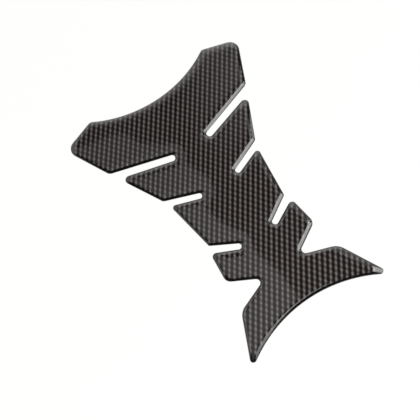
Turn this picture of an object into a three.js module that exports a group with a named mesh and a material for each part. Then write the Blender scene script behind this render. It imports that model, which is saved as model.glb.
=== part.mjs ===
// Motorcycle tank pad: a self-adhesive printed film with one dome of clear resin poured over it.
//
// Millimetres. The adhesive back lies on z = 0 and +Z goes up through the dome. +Y runs along the
// pad to its wide front end, and the pad is the same on both sides of the YZ plane.
// A station is a distance along the centreline, back from the two front corners. A reach is a
// distance out from the centreline. Corner places are those of the sharp corner before its round.

import * as THREE from 'three';

const COLOUR = 0x1e1b1b;
const ROUGHNESS = 0.12;

// Length between the sharp front corners and the sharp tail tips, before their rounds.
const CORNER_LENGTH = 219.8;

// Thickness: the film has a straight cut edge, and the resin rises from it to a level top. The
// fall is the power of the shoulder's curve, and the resin leaves the film at a slope of
// SHOULDER_FALL * RESIN_RISE / SHOULDER_WIDTH, about 50 degrees here.
const FILM_THICKNESS = 0.6;
const RESIN_RISE = 1.7;
const SHOULDER_WIDTH = 3.6;
const SHOULDER_FALL = 2.5;

// Wide front end, with a round bay between its two front corners.
const head = {
  bayDepth: 14.8,
  frontReach: 49.6,
  frontRound: 4,
  outerReach: 76,
  outerSetback: 9.4,
  outerRound: 7.5,
};

// Pairs of slots that part the fins. Each slot has a round end near the centreline, sweeps forward
// on its way out, and flares a little towards its mouth between a fin ahead and a fin behind it.
// The first two are placed from the front and the last from the waist, so that the fin between the
// second and the third takes up a change of the whole length.
const frontSlot = {
  lengthAhead: 62.3,
  endReach: 14.1,
  width: 4.9,
  sweep: 17.6,
  flare: 1.4,
  aheadReach: 59.6,
  aheadRound: 5,
  behindReach: 55.8,
  behindRound: 3.2,
};

const middleSlot = {
  lengthAhead: 36.2,
  endReach: 14.7,
  width: 4.2,
  sweep: 21.9,
  flare: 1.6,
  aheadReach: 39.4,
  aheadRound: 2.6,
  behindReach: 37.2,
  behindRound: 2.2,
};

const rearSlot = {
  lengthBehind: 27.8,
  endReach: 13.5,
  width: 4.2,
  sweep: 29.1,
  flare: 4,
  aheadReach: 31.4,
  aheadRound: 1.8,
  behindReach: 33.7,
  behindRound: 2.8,
};

const SLOT_END_ROUND = 0.45; // round of each end corner, in slot widths

// Waist behind the last slot: the last fin's corner and the notch between it and the tail.
const waist = {
  notchReach: 13.6,
  notchRound: 2.9,
  finReach: 36.1,
  finLead: 12.9,
  finRound: 5.5,
};

// Tail: two swept wings round a shallow bay, from the notch back.
const tail = {
  spineLength: 28.3,
  bayDepth: 18,
  wingReach: 39.3,
  wingSetback: 9.8,
  wingRound: 11,
  tipReach: 55.8,
  tipRound: 2.2,
};

// Facets
const CORNER_STEPS = 8;
const BAY_STEPS = 16;
const SHOULDER_STEPS = 7;

const planPoint = (reach, station) => new THREE.Vector2(reach, -station);

/** Straight edge. The material lies on the right of the way from start to end. */
class StraightEdge {
  constructor(start, end) {
    this.normal = new THREE.Vector2(end.y - start.y, start.x - end.x).normalize();
    this.level = this.normal.dot(start);
  }

  inward() {
    return this.normal;
  }

  depth(point) {
    return this.normal.dot(point) - this.level;
  }
}

/** Round bay on the centreline, through its middle and one end. The material lies outside the circle. */
class BayEdge {
  constructor(middle, end) {
    const rise = end.y - middle.y;
    this.middle = middle;
    this.centre = new THREE.Vector2(0, middle.y + (end.x ** 2 + rise ** 2) / (2 * rise));
    this.radius = this.centre.distanceTo(middle);
  }

  inward(point) {
    return point.clone().sub(this.centre).normalize();
  }

  depth(point) {
    return point.distanceTo(this.centre) - this.radius;
  }

  middleAt(inset) {
    return this.middle.clone().addScaledVector(this.inward(this.middle), inset);
  }
}

/** The point at one depth inside both edges, by Newton steps from a start close to it. */
function pointInsideBoth(first, second, depth, start) {
  const passes = 6;
  const point = start.clone();
  for (let pass = 0; pass < passes; pass += 1) {
    const a = first.inward(point);
    const b = second.inward(point);
    const missA = depth - first.depth(point);
    const missB = depth - second.depth(point);
    point.x += (missA * b.y - missB * a.y) / a.cross(b);
    point.y += (missB * a.x - missA * b.x) / a.cross(b);
  }
  return point;
}

/** Moves a point square to an edge until it lies at the given depth. */
function pointAtDepth(edge, point, depth) {
  return point.clone().addScaledVector(edge.inward(point), depth - edge.depth(point));
}

/** Points of the shorter arc from start to end about a centre, both ends included. */
function arcPoints(centre, start, end, steps) {
  const from = start.clone().sub(centre);
  const to = end.clone().sub(centre);
  const turn = Math.atan2(from.cross(to), from.dot(to));
  return Array.from({ length: steps + 1 }, (_, step) =>
    start.clone().rotateAround(centre, (turn * step) / steps));
}

/**
 * Points round the corner between two edges, both moved in by inset. An inner corner's round grows
 * with the inset. An outer corner keeps its round, as resin does, which flows low into a point.
 */
function cornerPoints(corner, first, second, inset) {
  const isOuter = first.inward(corner.place).cross(second.inward(corner.place)) < 0;
  const centreDepth = isOuter ? inset + corner.round : -corner.round;
  const centre = pointInsideBoth(first, second, centreDepth, corner.place);
  const start = pointAtDepth(first, centre, inset);
  const end = pointAtDepth(second, centre, inset);
  return arcPoints(centre, start, end, CORNER_STEPS);
}

/** The four corners of one slot: its mouth on the fin ahead, its end, and its mouth on the fin behind. */
function slotCorners(slot, station) {
  const sweep = THREE.MathUtils.degToRad(slot.sweep);
  const halfFlare = THREE.MathUtils.degToRad(slot.flare) / 2;
  const end = planPoint(slot.endReach, station);
  const outward = new THREE.Vector2(Math.cos(sweep), Math.sin(sweep));
  const forward = new THREE.Vector2(-outward.y, outward.x);
  const endFront = end.clone().addScaledVector(forward, slot.width / 2);
  const endRear = end.clone().addScaledVector(forward, -slot.width / 2);
  const mouthPoint = (from, angle, reach) =>
    new THREE.Vector2(reach, from.y + (reach - from.x) * Math.tan(angle));
  const endRound = SLOT_END_ROUND * slot.width;
  return [
    { place: mouthPoint(endFront, sweep + halfFlare, slot.aheadReach), round: slot.aheadRound },
    { place: endFront, round: endRound },
    { place: endRear, round: endRound },
    { place: mouthPoint(endRear, sweep - halfFlare, slot.behindReach), round: slot.behindRound },
  ];
}

/** Stations down the centreline, the front ones from the head and the rear ones from the tail tips. */
function stations() {
  const frontEnd = frontSlot.lengthAhead;
  const tailBay = CORNER_LENGTH - tail.bayDepth;
  const notch = tailBay - tail.spineLength;
  return {
    frontSlot: frontEnd,
    middleSlot: frontEnd + middleSlot.lengthAhead,
    rearSlot: notch - rearSlot.lengthBehind,
    notch,
    tailBay,
  };
}

/** Corners of the right side from front to tail, with the bay that closes each end. */
function rightSide() {
  const at = stations();
  const frontCorner = planPoint(head.frontReach, 0);
  const tip = planPoint(tail.tipReach, CORNER_LENGTH);
  const corners = [
    { place: frontCorner, round: head.frontRound },
    { place: planPoint(head.outerReach, head.outerSetback), round: head.outerRound },
    ...slotCorners(frontSlot, at.frontSlot),
    ...slotCorners(middleSlot, at.middleSlot),
    ...slotCorners(rearSlot, at.rearSlot),
    { place: planPoint(waist.finReach, at.notch - waist.finLead), round: waist.finRound },
    { place: planPoint(waist.notchReach, at.notch), round: waist.notchRound },
    { place: planPoint(tail.wingReach, at.notch + tail.wingSetback), round: tail.wingRound },
    { place: tip, round: tail.tipRound },
  ];
  return {
    corners,
    frontBay: new BayEdge(planPoint(0, head.bayDepth), frontCorner),
    tailBay: new BayEdge(planPoint(0, at.tailBay), tip),
  };
}

/** Outline moved in by inset, anticlockwise seen from above, with as many points at any inset. */
function contour(inset) {
  const { corners, frontBay, tailBay } = rightSide();
  const edges = [
    frontBay,
    ...corners.slice(1).map((corner, index) => new StraightEdge(corners[index].place, corner.place)),
    tailBay,
  ];
  const rounds = corners.flatMap((corner, index) =>
    cornerPoints(corner, edges[index], edges[index + 1], inset));
  const right = [
    ...arcPoints(frontBay.centre, frontBay.middleAt(inset), rounds.at(0), BAY_STEPS).slice(0, -1),
    ...rounds,
    ...arcPoints(tailBay.centre, rounds.at(-1), tailBay.middleAt(inset), BAY_STEPS).slice(1),
  ];
  const left = right.slice(1, -1).map((point) => new THREE.Vector2(-point.x, point.y));
  return [...right.reverse(), ...left];
}

/** Levels of the edge: the film's straight cut, then the resin's shoulder, which flattens inwards. */
function edgeLevels() {
  const levels = [{ inset: 0, height: 0 }];
  for (let step = 0; step <= SHOULDER_STEPS; step += 1) {
    const share = step / SHOULDER_STEPS;
    levels.push({
      inset: SHOULDER_WIDTH * share,
      height: FILM_THICKNESS + RESIN_RISE * (1 - (1 - share) ** SHOULDER_FALL),
    });
  }
  return levels;
}

/** Closed solid through one contour at each level, with a flat back and a level top. */
function padGeometry() {
  const levels = edgeLevels();
  const contours = levels.map((level) => contour(level.inset));
  const count = contours[0].length;
  const positions = levels.flatMap((level, index) =>
    contours[index].flatMap((point) => [point.x, point.y, level.height]));
  const triangles = [];
  for (let level = 0; level < levels.length - 1; level += 1) {
    for (let index = 0; index < count; index += 1) {
      const low = level * count + index;
      const lowNext = level * count + ((index + 1) % count);
      triangles.push(low, lowNext, lowNext + count, low, lowNext + count, low + count);
    }
  }
  const topStart = (levels.length - 1) * count;
  for (const [a, b, c] of THREE.ShapeUtils.triangulateShape(contours[0], [])) {
    triangles.push(a, c, b);
  }
  for (const [a, b, c] of THREE.ShapeUtils.triangulateShape(contours.at(-1), [])) {
    triangles.push(topStart + a, topStart + b, topStart + c);
  }
  const geometry = new THREE.BufferGeometry();
  geometry.setAttribute('position', new THREE.Float32BufferAttribute(positions, 3));
  geometry.setIndex(triangles);
  geometry.computeBoundingBox();
  geometry.translate(0, -geometry.boundingBox.getCenter(new THREE.Vector3()).y, 0);
  geometry.computeVertexNormals();
  return geometry;
}

const material = new THREE.MeshStandardMaterial({ color: COLOUR, roughness: ROUGHNESS, metalness: 0 });
const pad = new THREE.Mesh(padGeometry(), material);
pad.name = 'tank_pad';

const tankPad = new THREE.Group();
tankPad.add(pad);

export default tankPad;
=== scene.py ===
"""Motorcycle tank pad: one resin dome over a printed film, laid flat on a white studio floor.

Everything is in metres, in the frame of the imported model: the adhesive back lies on z = 0, +Z goes
up through the dome and +Y runs along the pad to its wide front end.
"""

from __future__ import annotations

import logging
import math
from dataclasses import dataclass, field
from enum import Enum

import bpy
from mathutils import Matrix, Vector
from mathutils.bvhtree import BVHTree

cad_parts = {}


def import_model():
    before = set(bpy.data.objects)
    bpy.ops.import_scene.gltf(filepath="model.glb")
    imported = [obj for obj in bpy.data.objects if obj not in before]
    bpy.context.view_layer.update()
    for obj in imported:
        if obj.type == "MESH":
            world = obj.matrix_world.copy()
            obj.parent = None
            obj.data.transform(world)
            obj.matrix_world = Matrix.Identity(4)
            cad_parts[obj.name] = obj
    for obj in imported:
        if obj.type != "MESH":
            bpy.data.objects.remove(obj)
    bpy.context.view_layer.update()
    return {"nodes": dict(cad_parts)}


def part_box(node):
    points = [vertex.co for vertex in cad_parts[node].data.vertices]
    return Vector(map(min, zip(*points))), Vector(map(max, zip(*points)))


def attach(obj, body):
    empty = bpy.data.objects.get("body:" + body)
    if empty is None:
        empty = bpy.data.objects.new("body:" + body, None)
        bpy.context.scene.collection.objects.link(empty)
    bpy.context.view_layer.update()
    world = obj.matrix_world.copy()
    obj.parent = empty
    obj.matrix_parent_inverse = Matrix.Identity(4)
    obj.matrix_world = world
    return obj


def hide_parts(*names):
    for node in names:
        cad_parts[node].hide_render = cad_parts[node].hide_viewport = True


LOG = logging.getLogger("tank_pad")
MM = 0.001

PAD_NODE = "tank_pad"
PAD_BODY = "root"

Point = tuple[float, float, float]
Colour = tuple[float, float, float]

BLACK: Colour = (0.0, 0.0, 0.0)
WHITE: Colour = (1.0, 1.0, 1.0)

# Directions that a card's glow fades in. The far wall and the tall card run along the last two.
UPWARD: Point = (0.0, 0.0, 1.0)
BACKWARD: Point = (0.0, 1.0, 0.0)
WALL_LEFT: Point = (-0.981, 0.196, 0.0)
WALL_RIGHT: Point = (0.981, -0.196, 0.0)


class Surface(Enum):
    """Material slots of the pad's mesh, in order."""

    PRINT = 0
    CUT_EDGE = 1
    ADHESIVE = 2


# Shader maths

class Value:
    """One output socket of a material. Arithmetic on it adds Math nodes."""

    def __init__(self, shader: Shader, socket: bpy.types.NodeSocket) -> None:
        """Wraps a socket of the given shader."""
        self.shader = shader
        self.socket = socket

    def __add__(self, other: Operand) -> Value:
        """self + other."""
        return self.shader.math("ADD", self, other)

    def __radd__(self, other: Operand) -> Value:
        """other + self."""
        return self.shader.math("ADD", other, self)

    def __sub__(self, other: Operand) -> Value:
        """self - other."""
        return self.shader.math("SUBTRACT", self, other)

    def __rsub__(self, other: Operand) -> Value:
        """other - self."""
        return self.shader.math("SUBTRACT", other, self)

    def __mul__(self, other: Operand) -> Value:
        """self * other."""
        return self.shader.math("MULTIPLY", self, other)

    def __rmul__(self, other: Operand) -> Value:
        """other * self."""
        return self.shader.math("MULTIPLY", other, self)

    def cosine(self) -> Value:
        """Cosine of a number of whole turns."""
        return self.shader.math("COSINE", self * math.tau)

    def step(self, low: float, high: float) -> Value:
        """Smooth step from 0 at low to 1 at high."""
        node = self.shader.node(
            "ShaderNodeMapRange",
            {"interpolation_type": "SMOOTHSTEP"},
            {"Value": self, "From Min": low, "From Max": high},
        )
        return self.shader.output(node, "Result")


Operand = Value | float


class Shader:
    """One node material, built from nothing."""

    def __init__(self, name: str) -> None:
        """Makes an empty material of that name."""
        self.material = bpy.data.materials.new(name)
        self.material.use_nodes = True
        self.tree = self.material.node_tree
        self.tree.nodes.clear()

    def node(
        self,
        kind: str,
        settings: dict[str, object] | None = None,
        inputs: dict[str | int, object] | None = None,
    ) -> bpy.types.Node:
        """Adds a node.

        Args:
            kind: The node's type name.
            settings: Properties of the node, set before its sockets.
            inputs: A value or a link for each named or numbered input socket.

        Returns:
            The new node.
        """
        made = self.tree.nodes.new(kind)
        for name, setting in (settings or {}).items():
            setattr(made, name, setting)
        for name, source in (inputs or {}).items():
            if isinstance(source, Value):
                self.tree.links.new(source.socket, made.inputs[name])
            else:
                made.inputs[name].default_value = source
        return made

    def output(self, node: bpy.types.Node, name: str | int = 0) -> Value:
        """Wraps one output of a node."""
        return Value(self, node.outputs[name])

    def math(self, operation: str, *operands: Operand) -> Value:
        """Adds a Math node on the operands."""
        node = self.node("ShaderNodeMath", {"operation": operation}, dict(enumerate(operands)))
        return self.output(node)

    def mix(self, factor: Operand, low: Value | Colour, high: Value | Colour) -> Value:
        """Mixes two colours.

        Args:
            factor: Share of the second colour.
            low: Colour at factor 0.
            high: Colour at factor 1.

        Returns:
            The mixed colour.
        """
        low, high = ((*c, 1.0) if isinstance(c, tuple) else c for c in (low, high))
        node = self.node("ShaderNodeMix", {"data_type": "RGBA"}, {0: factor, 6: low, 7: high})
        return self.output(node, 2)

    def split(self, vector: Value) -> tuple[Value, Value, Value]:
        """Splits a vector into three values."""
        node = self.node("ShaderNodeSeparateXYZ", None, {0: vector})
        return tuple(self.output(node, axis) for axis in ("X", "Y", "Z"))

    def place(self) -> tuple[Value, Value, Value]:
        """Object coordinates, as three values in metres."""
        coordinates = self.node("ShaderNodeTexCoord")
        return self.split(self.output(coordinates, "Object"))

    def vector(self, x: Operand, y: Operand, z: Operand = 0.0) -> Value:
        """Joins three values to a vector."""
        return self.output(self.node("ShaderNodeCombineXYZ", None, {0: x, 1: y, 2: z}))

    def noise(self, place: Value, scale: float) -> Value:
        """Noise from 0 to 1 at a place."""
        node = self.node("ShaderNodeTexNoise", None, {"Vector": place, "Scale": scale})
        return self.output(node)

    def bump(self, height: Value, distance: float, strength: float) -> Value:
        """Normal of a height map whose full range is the given distance."""
        inputs = {"Strength": strength, "Distance": distance, "Height": height}
        return self.output(self.node("ShaderNodeBump", None, inputs))

    def surface(self, inputs: dict[str, object]) -> bpy.types.Material:
        """Ends the material in a Principled shader with these values and links."""
        shader = self.node("ShaderNodeBsdfPrincipled", None, inputs)
        return self.close(self.output(shader))

    def close(self, shader: Value) -> bpy.types.Material:
        """Joins a shader to the material's output."""
        self.node("ShaderNodeOutputMaterial", None, {"Surface": shader})
        return self.material


# Finishes

@dataclass(frozen=True)
class DomedPrint:
    """Film printed with a slanted woven pattern, seen through clear glossy resin.

    Attributes:
        across: Repeat of the weave across the pad.
        along: Repeat of the weave along the pad.
        lean: Drift of the weave to the side, for each length along the pad.
        light_tow_at: Middle of one light tow.
        light: Colour of the light tows.
        dark: Colour of the dark tows.
        dark_foot: Near-black colour of the dome's lower edge, under a height.
        dark_foot_top: Height on the dome under which that colour is whole.
        weave_full_above: Height on the dome where the weave is full.
        bead: Size of the wave along the slanted rows, beside that across them.
        contrast: Swing of the weave's level.
        mid_tone: Middle of the weave's level.
        tone_power: Power that turns the level into lightness.
        fibre_count: Grains of noise across a tow, over one repeat.
        fibre_run: Grains of noise along a tow, over one repeat.
        fibre_swing: How much the fibres change a tow's lightness.
        fibre_floor: Share of a tow's lightness that its darkest fibres keep.
        under_light: Lightness of the fibres in the dark tows.
        roughness: Roughness of the resin.
        ior: Refractive index of the resin.
        side_from: Facing value where the level top's gloss starts to go.
        side_to: Facing value where all of the loss has come.
        level_from: Upward part of the normal where the dome starts to count as level.
        level_to: Upward part of the normal where it counts as level.
        side_loss: Share of the gloss that the level top loses from the side.
    """

    across: float = 4.299 * MM
    along: float = 6.199 * MM
    lean: float = 0.00225
    light_tow_at: tuple[float, float] = (0.14 * MM, 2.17 * MM)
    light: Colour = (0.1040, 0.0909, 0.0868)
    dark: Colour = (0.0015, 0.0013, 0.0013)
    dark_foot: Colour = (0.002, 0.002, 0.002)
    dark_foot_top: float = 1.45 * MM
    weave_full_above: float = 1.8 * MM
    bead: float = 0.38
    contrast: float = 0.405
    mid_tone: float = 0.40
    tone_power: float = 2.2
    fibre_count: float = 23.0
    fibre_run: float = 0.9
    fibre_swing: float = 0.9
    fibre_floor: float = 0.55
    under_light: float = 0.06
    roughness: float = 0.04
    ior: float = 1.56
    side_from: float = 0.30
    side_to: float = 0.60
    level_from: float = 0.90
    level_to: float = 0.99
    side_loss: float = 0.8

    def phases(self, shader: Shader) -> tuple[Value, Value]:
        """Turns across and along the slanted rows of light tows.

        Args:
            shader: The material that the nodes go into.

        Returns:
            Two values that are whole numbers at the middle of each light tow.
        """
        x, y, _ = shader.place()
        x = x - self.light_tow_at[0]
        y = y - self.light_tow_at[1]
        turns_x = (x + y * self.lean) * (1 / self.across)
        turns_y = y * (1 / self.along)
        return turns_x - turns_y, turns_x + turns_y

    def weave(self, shader: Shader) -> Value:
        """Lightness of the pattern.

        Args:
            shader: The material that the nodes go into.

        Returns:
            A value from 0 on the dark tows to 1 on the light ones.
        """
        rows, beads = self.phases(shader)
        ridge = rows.cosine() + beads.cosine() * self.bead
        level = shader.math("MAXIMUM", ridge * self.contrast + self.mid_tone, 0.0)
        tow = shader.math("POWER", level, self.tone_power)
        light_place = shader.vector(rows * self.fibre_count, beads * self.fibre_run)
        dark_place = shader.vector(rows * self.fibre_run, beads * self.fibre_count)
        light_fibres = shader.noise(light_place, 1.0) * self.fibre_swing + self.fibre_floor
        dark_fibres = shader.noise(dark_place, 1.0) * self.under_light
        return tow * light_fibres + (1.0 - tow) * dark_fibres

    def resin(self, shader: Shader) -> Value:
        """Weight of the resin's gloss, held back where its level top is seen from the side.

        Args:
            shader: The material that the nodes go into.

        Returns:
            A value that is 1 wherever nothing is held back.
        """
        layer = shader.node("ShaderNodeLayerWeight")
        side_on = shader.output(layer, "Facing").step(self.side_from, self.side_to)
        geometry = shader.node("ShaderNodeNewGeometry")
        _, _, upward = shader.split(shader.output(geometry, "Normal"))
        level = upward.step(self.level_from, self.level_to)
        return 1.0 - side_on * level * self.side_loss

    def material(self) -> bpy.types.Material:
        """Builds the finish as a material.

        Returns:
            The finished material. Its gloss is the resin's alone, since the print under it has none.
        """
        shader = Shader("domed_print")
        _, _, height = shader.place()
        pattern = shader.mix(self.weave(shader), self.dark, self.light)
        # Below a height the dome's lower edge is near-black, and the weave fades in above it.
        weave_share = height.step(self.dark_foot_top, self.weave_full_above)
        return shader.surface({
            "Base Color": shader.mix(weave_share, self.dark_foot, pattern),
            "Specular IOR Level": 0.0,
            "Coat Weight": self.resin(shader),
            "Coat Roughness": self.roughness,
            "Coat IOR": self.ior,
        })


@dataclass(frozen=True)
class CutFilm:
    """Cut edge of the black film, matt and a little ragged.

    Attributes:
        colour: Colour of the film.
        worn: Colour of its lighter grains.
        roughness: Roughness of the edge.
        grain: Size of a grain.
        upright: Share of a height that moves the grain on, which makes the grains tall.
        ragged_depth: Depth of the grains.
        ragged: Strength of the grains' relief.
    """

    colour: Colour = (0.004, 0.004, 0.004)
    worn: Colour = (0.010, 0.010, 0.010)
    roughness: float = 0.6
    grain: float = 0.25 * MM
    upright: float = 0.2
    ragged_depth: float = 0.02 * MM
    ragged: float = 0.5

    def material(self) -> bpy.types.Material:
        """Builds the finish as a material.

        Returns:
            The finished material.
        """
        shader = Shader("cut_film")
        x, y, z = shader.place()
        noise = shader.noise(shader.vector(x, y, z * self.upright), 1 / self.grain)
        return shader.surface({
            "Base Color": shader.mix(noise, self.colour, self.worn),
            "Roughness": self.roughness,
            "Normal": shader.bump(noise, self.ragged_depth, self.ragged),
        })


@dataclass(frozen=True)
class AdhesiveBack:
    """Adhesive side of the film: dark grey, satin, with a fine cast texture.

    Attributes:
        colour: Colour of the adhesive.
        pale: Colour of its paler clouds.
        roughness: Roughness of the adhesive.
        grain: Size of a grain of the cast texture.
        cloud: Size of a paler cloud.
        cast_depth: Depth of the cast texture.
        cast: Strength of the cast texture's relief.
    """

    colour: Colour = (0.030, 0.030, 0.031)
    pale: Colour = (0.044, 0.044, 0.045)
    roughness: float = 0.42
    grain: float = 0.5 * MM
    cloud: float = 15.0 * MM
    cast_depth: float = 0.03 * MM
    cast: float = 0.6

    def material(self) -> bpy.types.Material:
        """Builds the finish as a material.

        Returns:
            The finished material.
        """
        shader = Shader("adhesive_back")
        x, y, _ = shader.place()
        fine = shader.noise(shader.vector(x, y), 1 / self.grain)
        broad = shader.noise(shader.vector(x, y), 1 / self.cloud)
        return shader.surface({
            "Base Color": shader.mix(broad, self.colour, self.pale),
            "Roughness": self.roughness,
            "Normal": shader.bump(fine, self.cast_depth, self.cast),
        })


@dataclass(frozen=True)
class StudioWhite:
    """White ground that the camera and reflections see as plain white, with a trace of shadow.

    Attributes:
        diffuse: Colour that the pad is lit by.
        seen: White that the camera and reflections see.
        seen_share: Share of that white. The rest is the lit ground with its shadow.
    """

    diffuse: Colour = (0.8, 0.8, 0.8)
    seen: Colour = (0.992, 0.992, 0.978)
    seen_share: float = 0.97

    def material(self) -> bpy.types.Material:
        """Builds the finish as a material.

        Returns:
            The finished material.
        """
        shader = Shader("studio_white")
        path = shader.node("ShaderNodeLightPath")
        camera = shader.output(path, "Is Camera Ray")
        glossy = shader.output(path, "Is Glossy Ray")
        through = shader.output(path, "Is Transmission Ray")
        seen = shader.math("MAXIMUM", shader.math("MAXIMUM", camera, glossy), through)
        lit = shader.node("ShaderNodeBsdfDiffuse", None, {"Color": (*self.diffuse, 1.0)})
        white = shader.node("ShaderNodeEmission", None, {"Color": (*self.seen, 1.0)})
        mixed = shader.node("ShaderNodeMixShader", None, {
            0: seen * self.seen_share,
            1: shader.output(lit),
            2: shader.output(white),
        })
        return shader.close(shader.output(mixed))


@dataclass(frozen=True)
class Fade:
    """Fall of a glow from full strength to none.

    Attributes:
        along: Direction of the fall.
        start: Distance along it where the fall starts.
        end: Distance along it where nothing is left.
    """

    along: Point
    start: float
    end: float

    def share(self, shader: Shader) -> Value:
        """Share of the strength that is left.

        Args:
            shader: The material that the nodes go into.

        Returns:
            A value from 1 to 0.
        """
        x, y, z = shader.place()
        at = x * self.along[0] + y * self.along[1] + z * self.along[2]
        return 1.0 - at.step(self.start, self.end)


@dataclass(frozen=True)
class Glow:
    """One even or faded part of the light that a card gives off.

    Attributes:
        radiance: Brightness of this part where nothing has faded.
        fades: Falls that are multiplied together.
    """

    radiance: float
    fades: tuple[Fade, ...] = ()

    def share(self, shader: Shader, peak: float) -> Operand:
        """This part of the light, as a share of the card's peak.

        Args:
            shader: The material that the nodes go into.
            peak: Radiance of the whole card where nothing has faded.

        Returns:
            A plain number for an even part, or else a value that follows its fades.
        """
        share: Operand = self.radiance / peak
        for fade in self.fades:
            share = share * fade.share(shader)
        return share


# Modelling

def deselect_all() -> None:
    """Leaves nothing selected."""
    bpy.ops.object.select_all(action="DESELECT")


def activate(obj: bpy.types.Object) -> None:
    """Makes one object the only selected and the active one."""
    deselect_all()
    obj.select_set(True)
    bpy.context.view_layer.objects.active = obj


def select_faces(obj: bpy.types.Object, chosen: set[int]) -> None:
    """Selects faces of a mesh in object mode, and nothing else of it.

    Args:
        obj: The object that has the mesh.
        chosen: Numbers of the faces.
    """
    mesh = obj.data
    for element in (*mesh.vertices, *mesh.edges):
        element.select = False
    for polygon in mesh.polygons:
        polygon.select = polygon.index in chosen


def smooth_step(share: float) -> float:
    """Smooth rise from 0 to 1, level at both ends and beyond them."""
    held = min(1.0, max(0.0, share))
    return held * held * (3.0 - 2.0 * held)


@dataclass
class TankPad:
    """The pad: film and resin dome, one piece with three finishes.

    Attributes:
        node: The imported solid.
        film: Height of the film's cut edge.
        weld: Distance within which loose corners are joined.
        flat_limit: Upward or downward part of the normal from which a face is flat.
        flat_angle: Angle in degrees between flat faces that become one.
        cell: Side of the square cells that the pad is cut into.
        crisp_angle: Angle in degrees from which an edge stays crisp.
        wave_depth: Depth of the waves on the level top.
        wave_length: Size of the waves.
        wave_from: Height where the waves start to show.
        ease_depth: How far the dome sinks at its foot.
        ease_from: Distance from the outline where the sunk part starts to rise.
        ease_to: Distance from the outline where it has reached the level top.
        upright_limit: Upward part of the normal under which a face stands upright.
        print_finish: Finish of the dome.
        edge_finish: Finish of the film's cut edge.
        back_finish: Finish of the back.
    """

    node: bpy.types.Object
    film: float = 0.6 * MM
    weld: float = 0.001 * MM
    flat_limit: float = 0.99999
    flat_angle: float = 0.1
    cell: float = 2.0 * MM
    crisp_angle: float = 35.0
    wave_depth: float = 0.04 * MM
    wave_length: float = 52.0 * MM
    wave_from: float = 1.75 * MM
    ease_depth: float = 0.16 * MM
    ease_from: float = 2.0 * MM
    ease_to: float = 6.0 * MM
    upright_limit: float = 0.3
    print_finish: DomedPrint = field(default_factory=DomedPrint)
    edge_finish: CutFilm = field(default_factory=CutFilm)
    back_finish: AdhesiveBack = field(default_factory=AdhesiveBack)

    def build(self) -> bpy.types.Object:
        """Builds and dresses the pad.

        Returns:
            The finished piece.
        """
        low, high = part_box(self.node.name)
        piece = self.copy_of_node()
        self.merge_flats(piece)
        self.cut_to_cells(piece, low, high)
        self.ease_the_top(piece)
        self.wave_the_top(piece, high.z)
        self.dress(piece)
        activate(piece)
        bpy.ops.object.shade_smooth_by_angle(angle=math.radians(self.crisp_angle))
        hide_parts(self.node.name)
        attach(piece, PAD_BODY)
        return piece

    def copy_of_node(self) -> bpy.types.Object:
        """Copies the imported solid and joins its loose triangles.

        Returns:
            The copy, at the origin.
        """
        piece = self.node.copy()
        piece.data = self.node.data.copy()
        piece.name = "resin_domed_pad"
        piece.parent = None
        for key in list(piece.keys()):
            del piece[key]
        bpy.context.scene.collection.objects.link(piece)
        activate(piece)
        bpy.ops.object.mode_set(mode="EDIT")
        bpy.ops.mesh.select_all(action="SELECT")
        bpy.ops.mesh.remove_doubles(threshold=self.weld)
        bpy.ops.object.mode_set(mode="OBJECT")
        return piece

    def merge_flats(self, piece: bpy.types.Object) -> None:
        """Makes one face each of the level top and the flat back.

        Args:
            piece: The pad.
        """
        flat = {p.index for p in piece.data.polygons if abs(p.normal.z) > self.flat_limit}
        select_faces(piece, flat)
        bpy.ops.object.mode_set(mode="EDIT")
        bpy.ops.mesh.dissolve_limited(angle_limit=math.radians(self.flat_angle))
        bpy.ops.object.mode_set(mode="OBJECT")

    def cut_to_cells(self, piece: bpy.types.Object, low: Vector, high: Vector) -> None:
        """Cuts the pad along a square grid, so that the top can follow its low waves.

        Args:
            piece: The pad, which is the active object.
            low: Lowest corner of the solid.
            high: Highest corner of the solid.
        """
        bpy.ops.object.mode_set(mode="EDIT")
        for axis in (0, 1):
            length = high[axis] - low[axis]
            count = math.ceil(length / self.cell)
            for line in range(1, count):
                at = Vector()
                at[axis] = low[axis] + length * line / count
                normal = Vector()
                normal[axis] = 1.0
                bpy.ops.mesh.select_all(action="SELECT")
                bpy.ops.mesh.bisect(plane_co=at, plane_no=normal)
        bpy.ops.mesh.select_all(action="SELECT")
        bpy.ops.mesh.quads_convert_to_tris(quad_method="BEAUTY", ngon_method="BEAUTY")
        bpy.ops.object.mode_set(mode="OBJECT")

    def ease_the_top(self, piece: bpy.types.Object) -> None:
        """Sinks the dome's edge a little, so that it goes over into the level top more slowly.

        Args:
            piece: The pad.
        """
        mesh = piece.data
        walls = [p.vertices for p in mesh.polygons if abs(p.normal.z) < self.upright_limit]
        tree = BVHTree.FromPolygons([v.co for v in mesh.vertices], walls)
        for vertex in mesh.vertices:
            if vertex.co.z < self.film - self.ease_depth:
                continue
            foot = Vector((vertex.co.x, vertex.co.y, self.film / 2))
            _, _, _, inset = tree.find_nearest(foot)
            share = (inset - self.ease_from) / (self.ease_to - self.ease_from)
            vertex.co.z -= self.ease_depth * (1.0 - smooth_step(share))

    def wave_the_top(self, piece: bpy.types.Object, top: float) -> None:
        """Lowers the level top in shallow waves, which cured resin has.

        Args:
            piece: The pad.
            top: Height of the level top.
        """
        group = piece.vertex_groups.new(name="top")
        for vertex in piece.data.vertices:
            share = (vertex.co.z - self.wave_from) / (top - self.wave_from)
            if share > 0.0:
                group.add([vertex.index], smooth_step(share), "REPLACE")
        texture = bpy.data.textures.new("resin_waves", "CLOUDS")
        texture.noise_scale = self.wave_length
        texture.noise_depth = 0
        waves = piece.modifiers.new("resin_waves", "DISPLACE")
        waves.texture = texture
        waves.texture_coords = "LOCAL"
        waves.direction = "Z"
        waves.mid_level = 1.0
        waves.strength = self.wave_depth
        waves.vertex_group = group.name
        activate(piece)
        bpy.ops.object.modifier_apply(modifier=waves.name)

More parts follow.
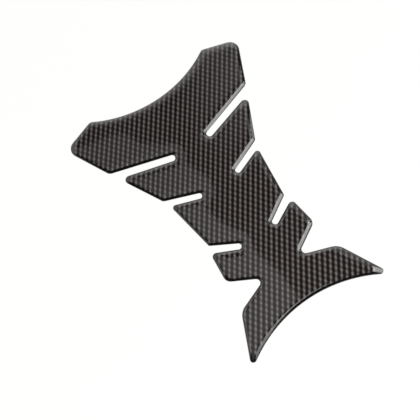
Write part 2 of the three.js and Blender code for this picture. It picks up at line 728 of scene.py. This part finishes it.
    def dress(self, piece: bpy.types.Object) -> None:
        """Gives each face its finish, by the way it faces.

        Args:
            piece: The pad.
        """
        mesh = piece.data
        mesh.materials.clear()
        for finish in (self.print_finish, self.edge_finish, self.back_finish):
            mesh.materials.append(finish.material())
        for polygon in mesh.polygons:
            if polygon.normal.z < -self.upright_limit:
                surface = Surface.ADHESIVE
            elif polygon.normal.z < self.upright_limit:
                surface = Surface.CUT_EDGE
            else:
                surface = Surface.PRINT
            polygon.material_index = surface.value


# Studio

@dataclass(frozen=True)
class Panel:
    """A rectangular soft light that faces a point near the pad.

    Attributes:
        name: Name of the lamp.
        centre: Middle of the panel.
        size: Width and height of the panel.
        radiance: Brightness of its face, where 1 is white.
        facing: The point that it faces.
        mirrored: Whether the resin mirrors it, beside being lit by it.
    """

    name: str
    centre: Point
    size: tuple[float, float]
    radiance: float
    facing: Point = (0.0, 0.0, 0.0)
    mirrored: bool = True

    def build(self) -> None:
        """Adds the light."""
        bpy.ops.object.light_add(type="AREA", location=self.centre)
        lamp = bpy.context.object
        lamp.name = self.name
        lamp.data.shape = "RECTANGLE"
        lamp.data.size, lamp.data.size_y = self.size
        lamp.data.energy = self.radiance * math.pi * self.size[0] * self.size[1]
        toward = Vector(self.facing) - Vector(self.centre)
        lamp.rotation_mode = "QUATERNION"
        lamp.rotation_quaternion = toward.to_track_quat("-Z", "Y")
        lamp.visible_camera = False
        lamp.visible_glossy = self.mirrored


@dataclass(frozen=True)
class Card:
    """A flat card with any number of corners that only glows: the camera doesn't see it.

    Attributes:
        name: Name of the card and of its material.
        corners: Corners in order round the card.
        glows: Parts of its light, which add up.
    """

    name: str
    corners: tuple[Point, ...]
    glows: tuple[Glow, ...]

    def build(self) -> None:
        """Adds the card, which the camera doesn't see."""
        bpy.ops.mesh.primitive_circle_add(vertices=len(self.corners), fill_type="NGON")
        card = bpy.context.object
        card.name = self.name
        ring = [card.data.loops[i].vertex_index for i in card.data.polygons[0].loop_indices]
        for vertex, corner in zip(ring, self.corners):
            card.data.vertices[vertex].co = corner
        card.data.materials.append(self.material())
        card.visible_camera = False

    def material(self) -> bpy.types.Material:
        """Builds the glow as a material.

        Returns:
            The finished material: the peak radiance, times a grey where the glow fades.
        """
        shader = Shader(self.name)
        peak = sum(glow.radiance for glow in self.glows)
        light: dict[str, object] = {"Strength": peak}
        if any(glow.fades for glow in self.glows):
            share = sum(glow.share(shader, peak) for glow in self.glows)
            light["Color"] = shader.mix(share, BLACK, WHITE)
        return shader.close(shader.output(shader.node("ShaderNodeEmission", None, light)))


@dataclass
class Studio:
    """White floor with a raised rim, soft lights, a dim room and the camera.

    Attributes:
        floor_radius: Radius of the floor with its rim.
        floor_sides: Sides of the round floor.
        rim_width: How far the rim reaches in from the floor's edge.
        rim_height: Height of the rim.
        rim_steps: Rings that the rim's sweep is made of.
        floor_drop: Gap under the pad.
        room: Strength of the room's light.
        camera_at: Place of the camera.
        camera_forward: Direction that it looks in.
        camera_up: Direction of its upper side.
        focal_length: Its focal length in millimetres.
        sensor_width: Its sensor's width in millimetres.
        near_clip: Distance where its view starts.
        far_clip: Distance where its view ends.
        panels: The soft lights.
        cards: The glowing cards, which the resin mirrors.
    """

    floor_radius: float = 8.0
    floor_sides: int = 96
    rim_width: float = 1.6
    rim_height: float = 0.8
    rim_steps: int = 12
    floor_drop: float = 0.05 * MM
    room: float = 0.03
    camera_at: Point = (-0.07408, -0.22239, 0.54637)
    camera_forward: Point = (0.09783, 0.37124, -0.92337)
    camera_up: Point = (0.55555, 0.74943, 0.36017)
    focal_length: float = 73.19
    sensor_width: float = 36.0
    near_clip: float = 0.01
    far_clip: float = 24.0
    panels: tuple[Panel, ...] = (
        Panel(
            "softbox", (0.376, -0.204, 0.362), (0.40, 0.56), 6.5,
            facing=(0.063, 0.078, 0.008)),
        Panel(
            "softbox_edge", (0.192, -0.436, 0.339), (0.19, 0.50), 3.2,
            facing=(-0.121, -0.154, -0.015)),
        Panel("fill", (-0.25, -0.30, 0.30), (0.30, 0.30), 9.0, mirrored=False),
    )
    cards: tuple[Card, ...] = (
        Card("ceiling_card", (
            (-0.300, 0.860, 1.2), (-0.052, 0.790, 1.2), (0.025, 0.774, 1.2), (0.056, 0.757, 1.2),
            (0.071, 0.713, 1.2), (0.139, 0.650, 1.2), (0.127, 0.602, 1.2), (0.150, 0.540, 1.2),
            (0.138, 0.503, 1.2), (0.106, 0.494, 1.2), (0.110, 0.455, 1.2), (0.139, 0.375, 1.2),
            (0.134, 0.345, 1.2), (0.151, 0.265, 1.2), (0.150, 0.000, 1.2), (0.000, -0.100, 1.2),
            (-0.090, -0.300, 1.2), (-0.100, -0.450, 1.2), (-0.600, -0.450, 1.2),
            (-0.600, 0.880, 1.2),
        ), (
            Glow(0.35),
            Glow(0.30, (Fade(BACKWARD, 0.30, 0.75),)),
        )),
        Card("far_wall", (
            (3.37, 0.595, 0.0), (-0.359, 1.342, 0.0), (-0.359, 1.342, 2.6), (3.37, 0.595, 2.6),
        ), (
            Glow(1.00, (
                Fade(UPWARD, 1.2, 1.8), Fade(WALL_RIGHT, 0.8, 3.4))),
            Glow(0.85, (
                Fade(UPWARD, 1.45, 2.15), Fade(WALL_LEFT, -0.25, 0.35), Fade(WALL_RIGHT, 0.6, 2.0))),
            Glow(0.40, (
                Fade(UPWARD, 0.3, 1.1), Fade(WALL_LEFT, -0.3, 0.4), Fade(WALL_RIGHT, 0.6, 1.4))),
        )),
        Card("left_wall", (
            (-0.359, 1.342, 0.0), (-2.200, 0.150, 0.0), (-2.200, 0.150, 0.75),
            (-1.280, 0.740, 1.0), (-1.057, 0.887, 1.9), (-0.359, 1.342, 2.4),
        ), (
            Glow(1.25, (Fade(UPWARD, 1.2, 2.2),)),
        )),
        Card("right_card", (
            (0.360, 0.250, 1.2), (0.420, 0.520, 1.2), (0.520, 0.720, 1.2), (0.900, 0.750, 1.2),
            (0.900, 0.200, 1.2),
        ), (
            Glow(0.8),
        )),
        Card("softbox_side", (
            (0.500, -0.046, 0.05), (0.600, 0.062, 0.05), (0.555, 0.090, 0.48),
            (0.465, -0.010, 0.48),
        ), (
            Glow(3.6),
        )),
        Card("tall_card", (
            (1.810, 0.887, 1.85), (0.240, 1.201, 1.85), (0.240, 1.201, 3.3), (1.810, 0.887, 3.3),
        ), (
            Glow(0.45, (Fade(UPWARD, 2.0, 2.7), Fade(WALL_LEFT, -0.35, -0.05))),
        )),
    )

    def build(self) -> None:
        """Builds the whole studio."""
        self.add_camera()
        self.add_floor()
        self.add_room()
        for light in (*self.panels, *self.cards):
            light.build()

    def add_camera(self) -> None:
        """Adds the camera at the place that the pad was photographed from."""
        forward = Vector(self.camera_forward).normalized()
        right = forward.cross(Vector(self.camera_up)).normalized()
        up = right.cross(forward)
        turned = Matrix((right, up, -forward)).transposed()
        bpy.ops.object.camera_add(location=self.camera_at)
        camera = bpy.context.object
        camera.name = "photo_camera"
        camera.rotation_euler = turned.to_euler()
        camera.data.lens = self.focal_length
        camera.data.sensor_width = self.sensor_width
        camera.data.clip_start = self.near_clip
        camera.data.clip_end = self.far_clip
        bpy.context.scene.camera = camera

    def add_floor(self) -> None:
        """Adds the floor: a round plate whose rim sweeps up to the horizon."""
        radii = []
        heights = []
        for step in range(self.rim_steps + 1):
            angle = math.radians(90.0) * (1.0 - step / self.rim_steps)
            radii.append(self.floor_radius - self.rim_width * (1.0 - math.sin(angle)))
            heights.append(self.rim_height * (1.0 - math.cos(angle)) - self.floor_drop)
        bpy.ops.mesh.primitive_circle_add(
            vertices=self.floor_sides,
            radius=radii[0],
            fill_type="NOTHING",
            location=(0.0, 0.0, heights[0]),
        )
        floor = bpy.context.object
        floor.name = "studio_floor"
        bpy.ops.object.mode_set(mode="EDIT")
        for step in range(1, self.rim_steps + 1):
            lift = heights[step] - heights[step - 1]
            bpy.ops.mesh.extrude_region_move(TRANSFORM_OT_translate={"value": (0.0, 0.0, lift)})
            grown = radii[step] / radii[step - 1]
            bpy.ops.transform.resize(value=(grown, grown, 1.0))
        bpy.ops.mesh.edge_face_add()
        bpy.ops.mesh.select_all(action="SELECT")
        bpy.ops.mesh.normals_make_consistent(inside=True)
        bpy.ops.object.mode_set(mode="OBJECT")
        bpy.ops.object.transform_apply(location=True, rotation=False, scale=True)
        floor.data.materials.append(StudioWhite().material())
        bpy.ops.object.shade_smooth()

    def add_room(self) -> None:
        """Sets the dim light of the room all round."""
        world = bpy.data.worlds.new("dim_room")
        bpy.context.scene.world = world
        world.use_nodes = True
        background = world.node_tree.nodes["Background"]
        background.inputs["Color"].default_value = (*WHITE, 1.0)
        background.inputs["Strength"].default_value = self.room
        bpy.context.scene.view_settings.view_transform = "Standard"


def main() -> None:
    """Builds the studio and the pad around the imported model."""
    logging.basicConfig(level=logging.INFO, format="%(message)s")
    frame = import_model()
    deselect_all()
    Studio().build()
    LOG.info("studio built")
    piece = TankPad(frame["nodes"][PAD_NODE]).build()
    LOG.info("%s: %d faces", piece.name, len(piece.data.polygons))


if __name__ == "__main__":
    main()
